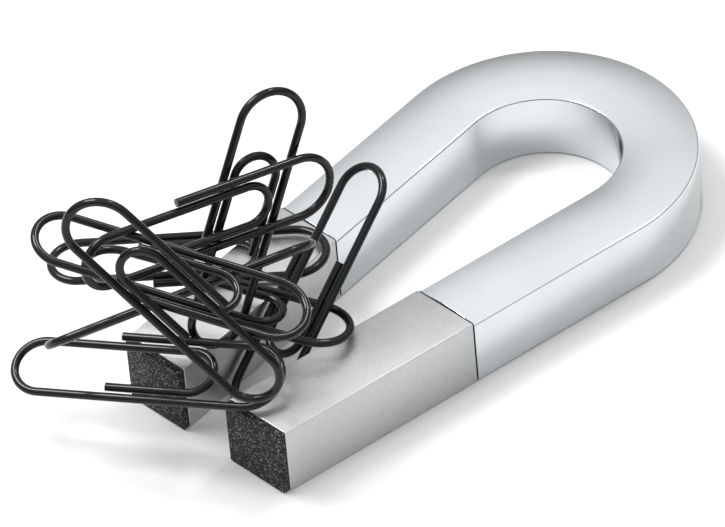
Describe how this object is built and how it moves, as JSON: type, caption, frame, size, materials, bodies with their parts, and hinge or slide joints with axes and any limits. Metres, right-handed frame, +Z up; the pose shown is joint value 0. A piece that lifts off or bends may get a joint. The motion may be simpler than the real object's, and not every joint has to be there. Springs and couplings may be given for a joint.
{
  "type": "magnetic desk sculpture",
  "caption": "Horseshoe magnet that lies flat on a desk, with a polished crowned bend, satin pole blocks and black tip plates, gathering a loose heap of black wire paper clips.",
  "frame": {"origin": "on the underside, under the middle of the bend", "axes": "+Z up from the desk; the two arms run toward -Y, with the bend at the +Y end"},
  "size_m": [0.0485, 0.0868, 0.0418],
  "materials": {
    "polished_chrome": "polished, mirror bright",
    "satin_steel": "satin, finely mottled",
    "magnet": "sintered, plated",
    "grained_black": "coarse matt grain with bright specks",
    "gasket": "matt",
    "stud_steel": "turned",
    "black_coated_wire": "gloss black coating on steel wire"
  },
  "bodies": {
    "magnet": {"yoke_body": "polished_chrome", "right_pole_block": "satin_steel", "right_magnet_bar": "magnet", "right_tip_plate": "grained_black", "right_seam_gasket": "gasket", "right_joint_stud": "stud_steel", "left_pole_block": "satin_steel", "left_magnet_bar": "magnet", "left_tip_plate": "grained_black", "left_seam_gasket": "gasket", "left_joint_stud": "stud_steel"},
    "low_front_clip": {"low_front_clip": "black_coated_wire"},
    "tall_back_clip": {"tall_back_clip": "black_coated_wire"},
    "cross_clip": {"cross_clip": "black_coated_wire"},
    "right_standing_clip": {"right_standing_clip": "black_coated_wire"},
    "long_top_clip": {"long_top_clip": "black_coated_wire"},
    "diagonal_clip": {"diagonal_clip": "black_coated_wire"},
    "pole_top_clip": {"pole_top_clip": "black_coated_wire"},
    "far_side_clip": {"far_side_clip": "black_coated_wire"},
    "tucked_clip": {"tucked_clip": "black_coated_wire"}
  },
  "joints": [
    {"name": "low_front_pull_off", "type": "slide", "parent": "magnet", "child": "low_front_clip", "axis": [-0.1925, -0.9623, 0.1925], "range_m": [0, 0.012]},
    {"name": "tall_back_pull_off", "type": "slide", "parent": "magnet", "child": "tall_back_clip", "axis": [-0.8782, -0.1896, 0.4391], "range_m": [0, 0.0053]},
    {"name": "cross_pull_off", "type": "slide", "parent": "magnet", "child": "cross_clip", "axis": [0.7026, 0.7026, 0.1124], "range_m": [0, 0.0103]},
    {"name": "right_standing_pull_off", "type": "slide", "parent": "magnet", "child": "right_standing_clip", "axis": [0.0788, 0.8171, 0.571], "range_m": [0, 0.0015]},
    {"name": "long_top_pull_off", "type": "slide", "parent": "magnet", "child": "long_top_clip", "axis": [-0.8018, -0.5345, 0.2673], "range_m": [0, 0.012]},
    {"name": "diagonal_pull_off", "type": "slide", "parent": "magnet", "child": "diagonal_clip", "axis": [0.8729, -0.2182, 0.4364], "range_m": [0, 0.012]},
    {"name": "pole_top_pull_off", "type": "slide", "parent": "magnet", "child": "pole_top_clip", "axis": [-0.8776, -0.4741, 0.0706], "range_m": [0, 0.0015]},
    {"name": "far_side_pull_off", "type": "slide", "parent": "magnet", "child": "far_side_clip", "axis": [-0.5883, 0.7845, 0.1961], "range_m": [0, 0.012]},
    {"name": "tucked_pull_off", "type": "slide", "parent": "magnet", "child": "tucked_clip", "axis": [0.597, 0.796, 0.0995], "range_m": [0, 0.012]}
  ]
}
